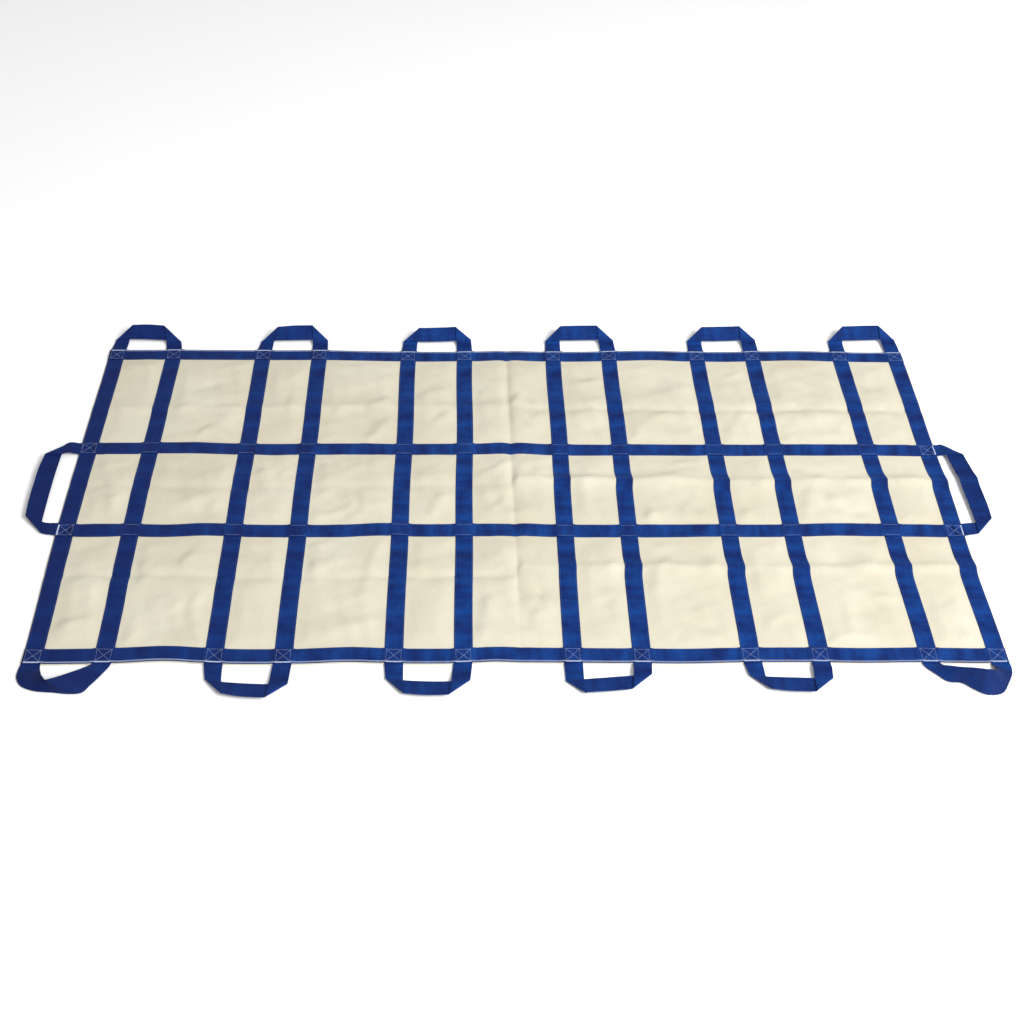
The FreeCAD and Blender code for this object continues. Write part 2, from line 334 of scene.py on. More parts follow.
def bump(tree, height, depth, strength, normal=None):
    values = {"Height": height, "Distance": depth, "Strength": strength}
    if normal is not None:
        values["Normal"] = normal
    return addNode(tree, "ShaderNodeBump", values).outputs["Normal"]


canvasLook = {
    "colour": (0.610, 0.580, 0.468, 1),
    "warm": (0.560, 0.516, 0.398, 1),
    "fleck": (0.41, 0.37, 0.28, 1),
    "threadSpacing": 0.00075,
    "slubs": (40, 900, 1),  # their waviness along a thread and across it
    "weaveDepth": 0.00022,
    "crumpleDepth": 0.0016,
    "roughness": (0.80, 0.95),
}


def makeCanvasMaterial():
    # Plain-woven cotton duck: two sets of threads, slubs, faint shading of its own.
    material, tree, shader = newMaterial("cotton_duck")
    place = addNode(tree, "ShaderNodeUVMap", uv_map="metres").outputs["UV"]
    warp, weft = [threads(tree, place, way, canvasLook["threadSpacing"], 0.4) for way in "XY"]
    weave = mathNode(tree, "MULTIPLY", warp, weft)
    along, across, depth = canvasLook["slubs"]
    slubX = noise(tree, stretched(tree, place, (along, across, depth)), 1.0, 2.0)
    slubY = noise(tree, stretched(tree, place, (across, along, depth)), 1.0, 2.0)
    slubs = mathNode(tree, "ADD", slubX, slubY)
    warmth = remapped(tree, noise(tree, place, 3.2, 4.0, 0.6), (0.38, 0.68))
    colour = colourMix(tree, warmth, canvasLook["colour"], canvasLook["warm"])
    for source, before, after in ((slubs, (0.85, 1.25), (0.0, 0.22)),
                                  (weave, (0.0, 0.5), (0.16, 0.0))):
        colour = colourMix(tree, remapped(tree, source, before, after), colour, canvasLook["fleck"])
    fine = mathNode(tree, "ADD", weave, mathNode(tree, "MULTIPLY", slubs, 0.6))
    normal = bump(tree, noise(tree, place, 26.0, 4.0, 0.55), canvasLook["crumpleDepth"], 0.5)
    setInputs(tree, shader, {
        "Base Color": colour,
        "Roughness": remapped(tree, slubs, (0.0, 1.0), canvasLook["roughness"]),
        "Normal": bump(tree, fine, canvasLook["weaveDepth"], 0.8, normal),
        "Specular IOR Level": 0.12, "Sheen Weight": 0.05, "Sheen Roughness": 0.6})
    return material


webbingLook = {
    "colour": (0.0036, 0.029, 0.168, 1),
    # light and dark bound the tape's streaks and its painted light and shade bands; dark also fills
    # the weave's gaps
    "light": (0.0054, 0.057, 0.262, 1),
    "dark": (0.0026, 0.009, 0.072, 1),
    "paintedShadeLeft": (0.0046, 0.012, 0.078, 1),  # painted shade, darker towards the left end
    "paintedLoopShade": (0.0042, 0.010, 0.060, 1),  # painted shade on the near loops and the end loops
    "ribSpacing": 0.0021,  # weft ribs across the tape
    "cordSpacing": 0.0016,  # warp cords along it
    "weaveDepth": 0.00035,
    "roughness": (0.62, 0.42),
}


def makeWebbingMaterial():
    # Woven tape: warp cords along its length, bound by weft ribs, with a chevron at each rib.
    material, tree, shader = newMaterial("blue_webbing")
    place = addNode(tree, "ShaderNodeUVMap", uv_map="metres").outputs["UV"]
    cords = threads(tree, place, "Y", webbingLook["cordSpacing"])
    flat = addNode(tree, "ShaderNodeSeparateXYZ", {0: place}).outputs
    across = mathNode(tree, "PINGPONG", flat["Y"], webbingLook["cordSpacing"])
    along = mathNode(tree, "ADD", flat["X"], mathNode(tree, "MULTIPLY", across, 0.9))
    leaning = addNode(tree, "ShaderNodeCombineXYZ", {"X": along, "Y": flat["Y"]}).outputs[0]
    ribs = threads(tree, leaning, "X", webbingLook["ribSpacing"])
    weave = mathNode(tree, "MULTIPLY", mathNode(tree, "POWER", ribs, 0.6), cords)
    streaks = noise(tree, stretched(tree, place, (12, 330, 1)), 1.0, 3.0)
    # Painted light and shade: bands along the tape where a real strap's bulges would catch the light
    # or turn away from it. The streaks are the tape's own tone.
    lightAndShadeBands = noise(tree, stretched(tree, place, (26, 9, 1)), 1.0, 4.0, 0.6)
    streaksAndShadeBands = mathNode(tree, "ADD", mathNode(tree, "MULTIPLY", streaks, 0.25),
                        mathNode(tree, "MULTIPLY", lightAndShadeBands, 0.75))
    colour = colourMix(tree, remapped(tree, streaksAndShadeBands, (0.40, 0.60)),
                       webbingLook["dark"], webbingLook["light"])
    inSpace = tree.nodes.new("ShaderNodeTexCoord").outputs["Object"]
    body = addNode(tree, "ShaderNodeSeparateXYZ", {0: inSpace}).outputs
    # Painted shade: the webbing is darkened towards the left end.
    paintedShadeLeftwards = remapped(tree, body["X"], (-0.15, -1.0), (0.0, 0.75))
    # Painted shade: the near loops and the end loops are darker, most of all at the near corners.
    fromMiddle = mathNode(tree, "ABSOLUTE", body["X"])
    corner = remapped(tree, fromMiddle, (0.72, 0.88), (0.22, 0.62))
    onNear = mathNode(tree, "MULTIPLY", remapped(tree, body["Y"], (-0.505, -0.53)), corner)
    onEnds = remapped(tree, fromMiddle, (0.998, 1.02), (0.0, 0.42))
    paintedLoopShade = mathNode(tree, "MAXIMUM", onNear, onEnds)
    gaps = remapped(tree, weave, (0.0, 0.35), (0.55, 0.0))
    for share, tone in ((0.25, "colour"), (paintedShadeLeftwards, "paintedShadeLeft"), (paintedLoopShade, "paintedLoopShade"), (gaps, "dark")):
        colour = colourMix(tree, share, colour, webbingLook[tone])
    setInputs(tree, shader, {
        "Base Color": colour,
        "Roughness": remapped(tree, weave, (0.0, 1.0), webbingLook["roughness"]),
        "Normal": bump(tree, weave, webbingLook["weaveDepth"], 0.9),
        "Specular IOR Level": 0.08, "Sheen Weight": 0.02, "Sheen Roughness": 0.4})
    return material


threadColours = {  # the light and the dark of each thread
    "pale_thread": ((0.56, 0.62, 0.74, 1), (0.34, 0.41, 0.58, 1)),
    "box_thread": ((0.40, 0.48, 0.68, 1), (0.22, 0.29, 0.50, 1)),
    "blue_thread": ((0.030, 0.085, 0.30, 1), (0.012, 0.035, 0.17, 1)),
}


def makeThreadMaterial(name):
    # Twisted sewing thread.
    material, tree, shader = newMaterial(name)
    light, dark = threadColours[name]
    mottled = noise(tree, tree.nodes.new("ShaderNodeTexCoord").outputs["Object"], 900.0, 2.0)
    setInputs(tree, shader, {
        "Base Color": colourMix(tree, mottled, dark, light),
        "Normal": bump(tree, mottled, 0.0002, 0.6), "Roughness": 0.45, "Sheen Weight": 0.2})
    return material


canvasMaterial = makeCanvasMaterial()
webbingMaterial = makeWebbingMaterial()
paleThread, boxThread, blueThread = [makeThreadMaterial(name) for name in threadColours]
print("materials ready")


def addObject(name, data):
    thing = bpy.data.objects.new(name, data)
    bpy.context.scene.collection.objects.link(thing)
    return thing


def addMesh(name, vertices, faces, uvs, material):
    # Makes a closed, smooth, outward-facing mesh. uvs holds one (u, v) in metres per vertex.
    mesh = bpy.data.meshes.new(name)
    mesh.from_pydata([tuple(point) for point in vertices], [], faces)
    shape = bmesh.new()
    shape.from_mesh(mesh)
    bmesh.ops.recalc_face_normals(shape, faces=shape.faces)
    shape.to_mesh(mesh)
    shape.free()
    layer = mesh.uv_layers.new(name="metres")
    order = np.zeros(len(mesh.loops), int)
    mesh.loops.foreach_get("vertex_index", order)
    layer.data.foreach_set("uv", np.asarray(uvs, np.float32)[order].ravel())
    mesh.polygons.foreach_set("use_smooth", [True] * len(mesh.polygons))
    mesh.materials.append(material)
    return addObject(name, mesh)


foldBend = 0.050  # length of cloth that bends at the middle crease
foldStep = 0.002  # distance between rows there

canvasShape = {
    "step": 0.0070,  # size of a cell of the cloth
    "hemExtra": 0.0008,  # the turned hem is thicker, on the underside
    "rounding": 0.0016,  # width of the rounded rim
}


def foldPlaces():
    # Places along the sheet where everything that bends at the middle crease has a row, with a
    # few to spare on both sides.
    return [round(place, 5) for place in np.arange(-0.004, foldBend + 0.006, foldStep)]


def edgeLines(half, step):
    # Grid lines from -half to half, closer together at the hem.
    hem = lay["hemWidth"]
    inner = np.linspace(-(half - hem - 0.001), half - hem - 0.001, int(2 * half / step))
    outer = [half - hem, half - hem * 0.6, half - canvasShape["rounding"], half - 0.0006, half]
    return np.concatenate([[-value for value in reversed(outer)], inner, outer])


def withFold(places):
    # Replaces the places at the middle crease by the closer ones.
    fold = foldPlaces()
    kept = [float(place) for place in places if not fold[0] - 0.0012 < place < fold[-1] + 0.0012]
    return np.array(sorted(kept + fold))


def makeCanvas():
    xs = withFold(edgeLines(clothEnd, canvasShape["step"]))
    ys = edgeLines(clothSide, canvasShape["step"])
    across, along = np.meshgrid(xs, ys, indexing="ij")
    toEdge = np.minimum(clothEnd - np.abs(across), clothSide - np.abs(along))
    rounding = np.sqrt(np.clip(toEdge / canvasShape["rounding"], 0, 1))
    hem = canvasShape["hemExtra"] * (toEdge <= lay["hemWidth"] + 1e-6)
    middle = clothThick / 2 - hem / 2
    half = (clothThick / 2 + hem / 2) * (0.25 + 0.75 * rounding)
    top = laid(np.stack([across, along, middle + half], axis=-1))
    bottom = laid(np.stack([across, along, middle - half], axis=-1))
    count = across.size
    index = np.arange(count).reshape(across.shape)
    vertices = np.concatenate([top.reshape(-1, 3), bottom.reshape(-1, 3)])
    cells = np.stack([index[:-1, :-1], index[1:, :-1], index[1:, 1:], index[:-1, 1:]], axis=-1)
    cells = cells.reshape(-1, 4)
    faces = cells.tolist() + (cells[:, ::-1] + count).tolist()
    rim = np.concatenate([index[:, 0], index[-1, 1:], index[-2::-1, -1], index[0, -2:0:-1]])
    following = np.roll(rim, -1)
    faces += np.stack([rim, rim + count, following + count, following], axis=-1).tolist()
    flat = np.stack([across.ravel(), along.ravel()], axis=-1)
    piece = addMesh("canvas", vertices, faces, np.concatenate([flat, flat]), canvasMaterial)
    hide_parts("canvas_left", "canvas_right")
    return piece


canvas = makeCanvas()
print("canvas ready")


tape = {
    "rim": (-1.0, -0.985, -0.93, -0.72, -0.36, 0.0),  # places across, as shares of half the width
    "swell": (0.0, 0.80, 1.0, 0.92, 0.94, 0.96),  # thickness there, as a share of the whole
    "rowStep": 0.0085,  # distance between rows along a strap
    "climb": 0.008,  # length over which a long strap climbs onto a cross strap
    "climbGap": 0.0004,  # from the cross strap's edge to where the climb ends
}


def tapeSection():
    # The outline of the tape's cross-section, once round: places across it and heights.
    across = list(tape["rim"]) + [-value for value in reversed(tape["rim"][:-1])]
    heights = list(tape["swell"]) + list(reversed(tape["swell"][:-1]))
    around = [(place, height) for place, height in zip(across, heights)]
    around += [(place, -height) for place, height in list(zip(across, heights))[-2:0:-1]]
    section = np.array(around)
    return section[:, 0] * halfWeb, section[:, 1] * webThick / 2


def makeTape(name, rows, placeAt, *replaced):
    # A length of webbing. rows holds (distance, slant) pairs, and placeAt turns distances along,
    # across and above the tape's middle into points. A slanted row runs along a fold.
    across, above = tapeSection()
    rows = np.array(rows)
    along = rows[:, :1] + rows[:, 1:] * across[None, :]
    sideways = np.broadcast_to(across, along.shape)
    height = np.broadcast_to(above, along.shape)
    points = placeAt(along, sideways, height).reshape(-1, 3)
    count = len(across)
    index = np.arange(len(rows) * count).reshape(len(rows), count)
    following = np.roll(index, -1, axis=1)
    cells = np.stack([index[:-1], index[1:], following[1:], following[:-1]], axis=-1)
    faces = cells.reshape(-1, 4).tolist() + [index[0].tolist(), index[-1][::-1].tolist()]
    uvs = np.stack([along.ravel(), sideways.ravel()], axis=-1)
    piece = addMesh(name, points, faces, uvs, webbingMaterial)
    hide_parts(*replaced)
    return piece


def humpAt(x):
    # 1 where a long strap lies on a cross strap and 0 where it lies on the canvas.
    distance = np.min([np.abs(x - centre) for centre in crossCentres], axis=0)
    return 1 - smooth((distance - halfWeb - tape["climbGap"]) / tape["climb"])


def longRows(end):
    # Closer rows where the strap climbs.
    places = set(np.round(np.linspace(-end, end, int(2 * end / tape["rowStep"])), 5))
    for centre in crossCentres:
        for side in (-1, 1):
            foot = centre + side * (halfWeb + tape["climbGap"])
            places |= {round(foot + side * tape["climb"] * share, 5) for share in np.linspace(0, 1, 7)}
    return [(place, 0.0) for place in withFold(sorted(places)) if abs(place) <= end]


def makeLongStrap(row):
    end = strapEnd if row.endswith("edge") else max(crossCentres)

    def placeAt(along, across, above):
        height = clothThick + webLift / 2 + webLift * humpAt(along) + above
        return laid(np.stack([along, rowCentres[row] + across, height], axis=-1))

    name = row + "_strap"
    return makeTape(name, longRows(end), placeAt, name + "_left", name + "_right")


def makeCrossStrap(name, centre):
    # It ends under the middle of each edge strap, where the hand loop's leg takes over.
    end = rowCentres["far_edge"]

    def placeAt(along, across, above):
        height = clothThick + webLift / 2 + above
        return laid(np.stack([centre + across, along, height], axis=-1))

    rows = [(place, 0.0) for place in np.linspace(-end, end, int(2 * end / tape["rowStep"]))]
    return makeTape(name + "_webbing", rows, placeAt, name)


longStraps = [makeLongStrap(row) for row in rowNames]
crossStraps = [makeCrossStrap(name, centre) for name, centre in zip(crossNames, crossCentres)]
print("straps ready")


loopLook = {
    "reach": 0.036,  # from the cloth's edge to the bar
    "foldRadius": 0.0016,
    "foldSteps": 9,
    "legRows": 12,
    "barRows": 22,
    "twistedRows": 72,
    "settle": 0.020,  # distance over which the legs come down to the floor
    "barBend": 0.014,  # length over which the bar bends up
    "gatherBack": 0.4,  # how far a drawn-in corner also comes back, as a share of the drawing in
    "gatherUp": 0.35,  # and how far it comes up
    "archAt": 0.018,  # distance from the sheet at which a leg arches highest
    "archLength": 0.013,
}

# How high the left and the right leg arch off the floor, in millimetres, where they do.
archedLegs = {
    "far_hand_loop_4": (0, 2), "far_hand_loop_5": (0, 2), "far_hand_loop_6": (0, 3),
    "near_hand_loop_2": (2, 2), "near_hand_loop_4": (0, 5), "near_hand_loop_5": (2, 6),
    "left_end_hand_loop": (0, 8), "right_end_hand_loop": (4, 3),
}

# How each folded loop lies, in millimetres and degrees: how far its left and right corners are
# from their drawn places, along the edge and outwards, how far the bar stands up at its left and
# right, how far its middle bows out, and how much its left and right corners are drawn in. Left is
# where x, or on an end loop y, is smaller.
loopPoses = {
    "far_hand_loop_1": ((3, -2), (-10, -9), (36, 34), 3, (0.24, 0.05)),
    "far_hand_loop_2": ((3, -7), (-3, -4), (36, 38), 1, (0.34, 0.0)),
    "far_hand_loop_3": ((2, -4), (-3, 1), (36, 38), -3, (0.12, 0.05)),
    "far_hand_loop_4": ((0, 0), (-6, 1), (37, 38), 1, (0.05, 0.05)),
    "far_hand_loop_5": ((-1, -1), (-4, 2), (37, 38), -1, (0.05, 0.05)),
    "far_hand_loop_6": ((0, 1), (-6, 7), (36, 38), 1, (0.05, 0.10)),
    "near_hand_loop_2": ((4, 5), (-4, 12), (12, 10), 2, (0.26, 0.0)),
    "near_hand_loop_3": ((2, 2), (-7, 6), (8, 10), 3, (0.14, 0.0)),
    "near_hand_loop_4": ((0, 5), (-5, -7), (8, 9), -1, (0.06, 0.06)),
    "near_hand_loop_5": ((4, -3), (-5, 2), (8, 8), 1, (0.26, 0.0)),
    "left_end_hand_loop": ((8, -6), (-8, -4), (12, 14), 3, (0.20, 0.34)),
    "right_end_hand_loop": ((5, -9), (-4, -22), (12, 10), 4, (0.16, 0.10)),
}

# The two loops at the near corners lie twisted. Each row is the outer and the inner edge of the
# tape in millimetres: across from the loop's middle, outwards from the cloth's edge, and up. Both
# start and end with the same rows.
twistStart = (((-89, -21, 2), (-51, -21, 2)), ((-89, -4, 2), (-51, -4, 2)))
twistEnd = (((89, -8, 2), (51, -8, 2)), ((89, -21, 2), (51, -21, 2)))
twistedLoops = {
    "near_hand_loop_1": (
        ((-91, 12, 2), (-49, 9, 3)),
        ((-91, 30, 2), (-46, 18, 6)), ((-80, 50, 2), (-42, 26, 12)), ((-52, 64, 2), (-37, 38, 20)),
        ((-12, 69, 2), (-30, 50, 27)), ((24, 73, 2), (-23, 60, 31)), ((41, 72, 2), (-12, 56, 30)),
        ((58, 52, 2), (14, 36, 20)), ((76, 24, 2), (38, 13, 8)), ((87, 3, 2), (50, 0, 3))),
    "near_hand_loop_6": (
        ((-84, 8, 2), (-50, 4, 4)),
        ((-66, 28, 2), (-34, 16, 14)), ((-45, 47, 2), (-16, 25, 22)), ((-18, 51, 3), (2, 29, 26)),
        ((2, 66, 2), (15, 34, 30)), ((24, 78, 2), (28, 37, 31)), ((54, 75, 2), (42, 36, 28)),
        ((74, 50, 2), (52, 29, 20)), ((89, 22, 2), (55, 13, 9)), ((91, 8, 2), (53, 3, 3))),
}


def foldOver(points, crease, beyond, radius, way):
    # Turns what lies beyond a crease back over (way 1) or under (way -1) the rest of the tape.
    # points holds x, y and the height above the tape's plane.
    distance = (points[..., :2] - crease) @ beyond
    height = way * points[..., 2]
    angle = np.clip(distance / radius, 0, math.pi)
    flat = distance > math.pi * radius
    offset = np.where(flat, math.pi * radius - distance, (radius - height) * np.sin(angle))
    lifted = np.where(flat, 2 * radius - height, radius - (radius - height) * np.cos(angle))
    turned = distance > 0
    result = points.copy()
    result[..., :2] += np.where(turned, offset - distance, 0.0)[..., None] * beyond
    result[..., 2] = way * np.where(turned, lifted, height)
    return result


def unit(vector):
    return vector / np.linalg.norm(vector)


def slantOf(fold, heading):
    # Slant of a tape's row that runs along a fold, for a tape that runs along heading.
    side = np.array([-heading[1], heading[0]])
    return float(fold @ heading) / float(fold @ side)


def makeLoop(name):
    box = nodeBox(name)
    isEnd = name.endswith("end_hand_loop")
    axis = 1 if isEnd else 0  # the world axis that the sheet's edge runs along there
    centre = middleOf(name, axis)
    outward = math.copysign(1.0, middleOf(name, 1 - axis))
    edge = clothEnd if isEnd else clothSide
    spread = float(box[1][axis] - box[0][axis]) - webWidth
    inside = edge - (max(crossCentres) if isEnd else rowCentres["far_edge"])
    (leftX, leftY), (rightX, rightY), tilts, bow, drawn = loopPoses[name]

    # Middle line of the folded tape, with the cloth's edge along x and outwards along y.
    bar = loopLook["reach"] + halfWeb
    corners = np.array([[-spread / 2, -inside],
                        [-spread / 2 + leftX / 1000, bar + leftY / 1000],
                        [spread / 2 + rightX / 1000, bar + rightY / 1000],
                        [spread / 2, -inside]])
    headings = [unit(corners[i + 1] - corners[i]) for i in range(3)]
    lengths = [np.linalg.norm(corners[i + 1] - corners[i]) for i in range(3)]
    side = np.array([-headings[0][1], headings[0][0]])
    firstFold = unit(headings[0] + headings[1])
    secondFold = unit(headings[1] + headings[2])
    secondDrawn = 2 * (secondFold @ firstFold) * firstFold - secondFold  # before the first fold
    folds = []
    for fold, distance in ((firstFold, lengths[0]), (secondDrawn, lengths[0] + lengths[1])):
        beyond = np.array([-fold[1], fold[0]])
        if beyond @ headings[0] < 0:
            beyond = -beyond
        folds.append((corners[0] + headings[0] * distance, beyond, slantOf(fold, headings[0]),
                      distance, 1 / float(beyond @ headings[0])))

    radius = loopLook["foldRadius"]
    total = sum(lengths)
    (_, _, slantA, foldA, stretchA), (_, _, slantB, foldB, stretchB) = folds
    arcA, arcB = math.pi * radius * stretchA, math.pi * radius * stretchB
    rows = [(place, slantA * smooth(place / foldA))
            for place in np.linspace(0, foldA, loopLook["legRows"])[:-1]]
    rows += [(foldA + place, slantA) for place in np.linspace(0, arcA, loopLook["foldSteps"])]
    for share in np.linspace(0, 1, loopLook["barRows"])[1:-1]:
        rows.append((foldA + arcA + (foldB - foldA - arcA) * share,
                     slantA + (slantB - slantA) * share))
    rows += [(foldB + place, slantB) for place in np.linspace(0, arcB, loopLook["foldSteps"])]
    for share in np.linspace(0, 1, loopLook["legRows"])[1:]:
        rows.append((foldB + arcB + (total - foldB - arcB) * share,
                     slantB * (1 - smooth(share))))
    stack = clothThick + webLift / 2 + (webLift if isEnd else 0.0)

    def placeAt(along, across, above):
        flat = corners[0] + along[..., None] * headings[0] + across[..., None] * side
        points = np.concatenate([flat, above[..., None]], axis=-1)
        points = foldOver(points, folds[1][0], folds[1][1], radius, -1)
        points = foldOver(points, folds[0][0], folds[0][1], radius, 1)
        x, y, above = points[..., 0], points[..., 1], points[..., 2]
        # The last leg lies on the bar at its corner, and comes down to the stack at the edge.
        down = smooth((along - foldB - arcB) / (total - foldB - arcB) * 1.25)
        above = above - 4 * radius * down
        y = y + bow / 1000 * smooth(y / bar) * (1 - (2 * x / spread) ** 2)
        for corner, outer, squeeze in ((corners[1], -1, drawn[0]), (corners[2], 1, drawn[1])):
            # A drawn-in corner: what lies past the opening's own corner is gathered towards it.
            past = (x - corner[0]) * outer + halfWeb + y - corner[1] + halfWeb
            pull = squeeze * np.maximum(past, 0) / 2
            x = x - outer * pull
            y = y - loopLook["gatherBack"] * pull
            above = above + loopLook["gatherUp"] * pull * np.clip(past / webWidth, 0, 1)
        share = smooth(x / spread + 0.5)
        angle = np.radians(tilts[0] + (tilts[1] - tilts[0]) * share)
        hinge = (corners[1][1] + (corners[2][1] - corners[1][1]) * (x / spread + 0.5)
                 - halfWeb - loopLook["barBend"] * 0.6)
        run = y - hinge
        turn = angle * np.clip(run / loopLook["barBend"], 0, 1)
        bend = loopLook["barBend"] / angle
        straight = np.maximum(run - loopLook["barBend"], 0)
        out = np.where(run > 0, bend * np.sin(turn) + straight * np.cos(turn), run)
        up = np.where(run > 0, bend * (1 - np.cos(turn)) + straight * np.sin(turn), 0)
        low = stack + (webThick / 2 + 0.0002 - stack) * smooth(y / loopLook["settle"])
        arch = np.where(x < 0, *archedLegs.get(name, (0, 0))) / 1000
        low = low + arch * np.exp(-((y - loopLook["archAt"]) / loopLook["archLength"]) ** 2)
        y = hinge + out - above * np.sin(turn)
        z = low + up + above * np.cos(turn)
        world = np.zeros(points.shape)
        world[..., axis] = centre + x
        world[..., 1 - axis] = outward * (edge + y)
        world[..., 2] = z
        return laid(world)

    return makeTape(name + "_webbing", rows, placeAt, name)


def through(knots, share):
    # A smooth curve through the knots, at shares of its length from 0 to 1.
    knots = np.asarray(knots, float)
    steps = np.concatenate([[0], np.cumsum(np.linalg.norm(np.diff(knots, axis=0), axis=1))])
    slopes = np.gradient(knots, steps, axis=0)
    place = np.clip(share, 0, 1) * steps[-1]
    i = np.clip(np.searchsorted(steps, place, side="right") - 1, 0, len(knots) - 2)
    span = (steps[i + 1] - steps[i])[..., None]
    t = ((place - steps[i]) / (steps[i + 1] - steps[i]))[..., None]
    return ((2 * t ** 3 - 3 * t ** 2 + 1) * knots[i] + (t ** 3 - 2 * t ** 2 + t) * span * slopes[i]
            + (3 * t ** 2 - 2 * t ** 3) * knots[i + 1] + (t ** 3 - t ** 2) * span * slopes[i + 1])


def makeTwistedLoop(name):
    centre = middleOf(name, 0)
    outward = math.copysign(1.0, middleOf(name, 1))
    edges = np.array(twistStart + twistedLoops[name] + twistEnd, float) / 1000
    length = np.linalg.norm(np.diff(edges.mean(axis=1), axis=0), axis=1).sum()
    knots = edges.reshape(len(edges), 6)

    def placeAt(along, across, above):
        rows = through(knots, along / length)
        outer, inner = rows[..., :3], rows[..., 3:]
        share = (across / halfWeb * 0.5 + 0.5)[..., None]
        points = outer + (inner - outer) * share
        step = through(knots, along / length + 0.01) - through(knots, along / length - 0.01)
        ahead = step[..., :3] * (1 - share) + step[..., 3:] * share
        normal = np.cross(ahead, inner - outer)
        normal *= np.sign(normal[..., 2:3] + 1e-9)
        normal /= np.linalg.norm(normal, axis=-1, keepdims=True)
        points = points + normal * above[..., None]
        world = np.stack([centre + points[..., 0], outward * (clothSide + points[..., 1]),
                          points[..., 2]], axis=-1)
        return laid(world)

    rows = [(place, 0.0) for place in np.linspace(0, length, loopLook["twistedRows"])]
    return makeTape(name + "_webbing", rows, placeAt, name)


loops = {name: makeLoop(name) for name in loopPoses}
loops.update({name: makeTwistedLoop(name) for name in twistedLoops})
print("loops ready")


# The sizes of each kind of stitch, in the order of stitchInputs. Where a stitch lies across its
# line, its length is the width of the seam.
stitchInputs = ("Pitch", "Stitch Length", "Thread Radius", "Sides", "Across", "Thread")
stitchKinds = {
    "seam": (0.0034, 0.0027, 0.00030, 4, False, blueThread),
    "box": (0.0029, 0.0023, 0.00027, 6, False, boxThread),
    "cross": (0.0029, 0.0023, 0.00036, 6, False, boxThread),
    "row": (0.0029, 0.0023, 0.00022, 6, False, boxThread),
    "bar": (0.00095, 0.0040, 0.00046, 6, True, paleThread),
    "edge": (0.0014, 0.0044, 0.00042, 4, True, paleThread),  # along the sheet's long edges
}

stitching = {
    "seamInset": 0.0028,  # from a strap's edge to its seam
    "edgeInset": 0.0036,  # from a strap's edge to the middle of the wide seam
    "boxSide": 0.030,
    "boxDrift": 0.0012,  # how far the corners of the boxes stray
    "boxSeed": 5,
    "lift": 0.25,  # how far a thread's middle lies over the webbing, as a share of its radius
    "seamLift": 0.3,
    "endGap": 0.001,  # from a box to the wide seam's end
}


def makeStitchTree():
    # Lays one stitch at every pitch along the input's edges, along them or across them.
    tree = bpy.data.node_groups.new("stitches", "GeometryNodeTree")
    sockets = {}
    tree.interface.new_socket("Geometry", in_out="OUTPUT", socket_type="NodeSocketGeometry")
    kinds = ("Geometry", "Float", "Float", "Float", "Int", "Bool", "Material")
    for name, kind in zip(("Geometry",) + stitchInputs, kinds):
        socket = tree.interface.new_socket(name, in_out="INPUT", socket_type="NodeSocket" + kind)
        sockets[name] = socket.identifier
    given = tree.nodes.new("NodeGroupInput").outputs
    curve = addNode(tree, "GeometryNodeMeshToCurve", {"Mesh": given["Geometry"]})
    points = addNode(tree, "GeometryNodeCurveToPoints",
                     {"Curve": curve.outputs["Curve"], "Length": given["Pitch"]}, mode="LENGTH")
    tangent = points.outputs["Tangent"]
    aside = addNode(tree, "ShaderNodeVectorMath", {0: tangent, 1: (0, 0, 1)},
                    operation="CROSS_PRODUCT")
    heading = addNode(tree, "GeometryNodeSwitch",
                      {"Switch": given["Across"], "False": tangent, "True": aside.outputs[0]},
                      input_type="VECTOR")
    align = addNode(tree, "FunctionNodeAlignRotationToVector",
                    {"Vector": heading.outputs[0]}, axis="Z")
    shape = addNode(tree, "GeometryNodeMeshUVSphere",
                    {"Segments": given["Sides"], "Rings": 3, "Radius": 1.0})
    size = addNode(tree, "ShaderNodeCombineXYZ",
                   {"X": given["Thread Radius"], "Y": given["Thread Radius"],
                    "Z": mathNode(tree, "MULTIPLY", given["Stitch Length"], 0.5)})
    place = addNode(tree, "GeometryNodeInstanceOnPoints",
                    {"Points": points.outputs["Points"], "Instance": shape.outputs["Mesh"],
                     "Rotation": align.outputs["Rotation"], "Scale": size.outputs[0]})
    real = addNode(tree, "GeometryNodeRealizeInstances", {"Geometry": place.outputs["Instances"]})
    rounded = addNode(tree, "GeometryNodeSetShadeSmooth", {"Geometry": real.outputs["Geometry"]})
    thread = addNode(tree, "GeometryNodeSetMaterial",
                     {"Geometry": rounded.outputs["Geometry"], "Material": given["Thread"]})
    addNode(tree, "NodeGroupOutput", {"Geometry": thread.outputs["Geometry"]})
    return tree, sockets


stitchTree, stitchSockets = makeStitchTree()


def sew(name, lines, kind):
    # lines holds arrays of points. Returns one plain mesh object with all their stitches.
    mesh = bpy.data.meshes.new(name + "_lines")
    points, edges = [], []
    for line in lines:
        first = len(points)
        points += [tuple(point) for point in line]
        edges += [(first + step, first + step + 1) for step in range(len(line) - 1)]
    mesh.from_pydata(points, edges, [])
    holder = addObject(name + "_lines", mesh)
    modifier = holder.modifiers.new("stitches", "NODES")
    modifier.node_group = stitchTree
    for socket, value in zip(stitchInputs, stitchKinds[kind]):
        modifier[stitchSockets[socket]] = value
    view = bpy.context.evaluated_depsgraph_get()
    sewn = bpy.data.meshes.new_from_object(holder.evaluated_get(view))
    sewn.name = name
    bpy.data.objects.remove(holder)
    return addObject(name, sewn)


def liftOf(kind):
    return stitchKinds[kind][2] * stitching["seamLift" if kind == "seam" else "lift"]


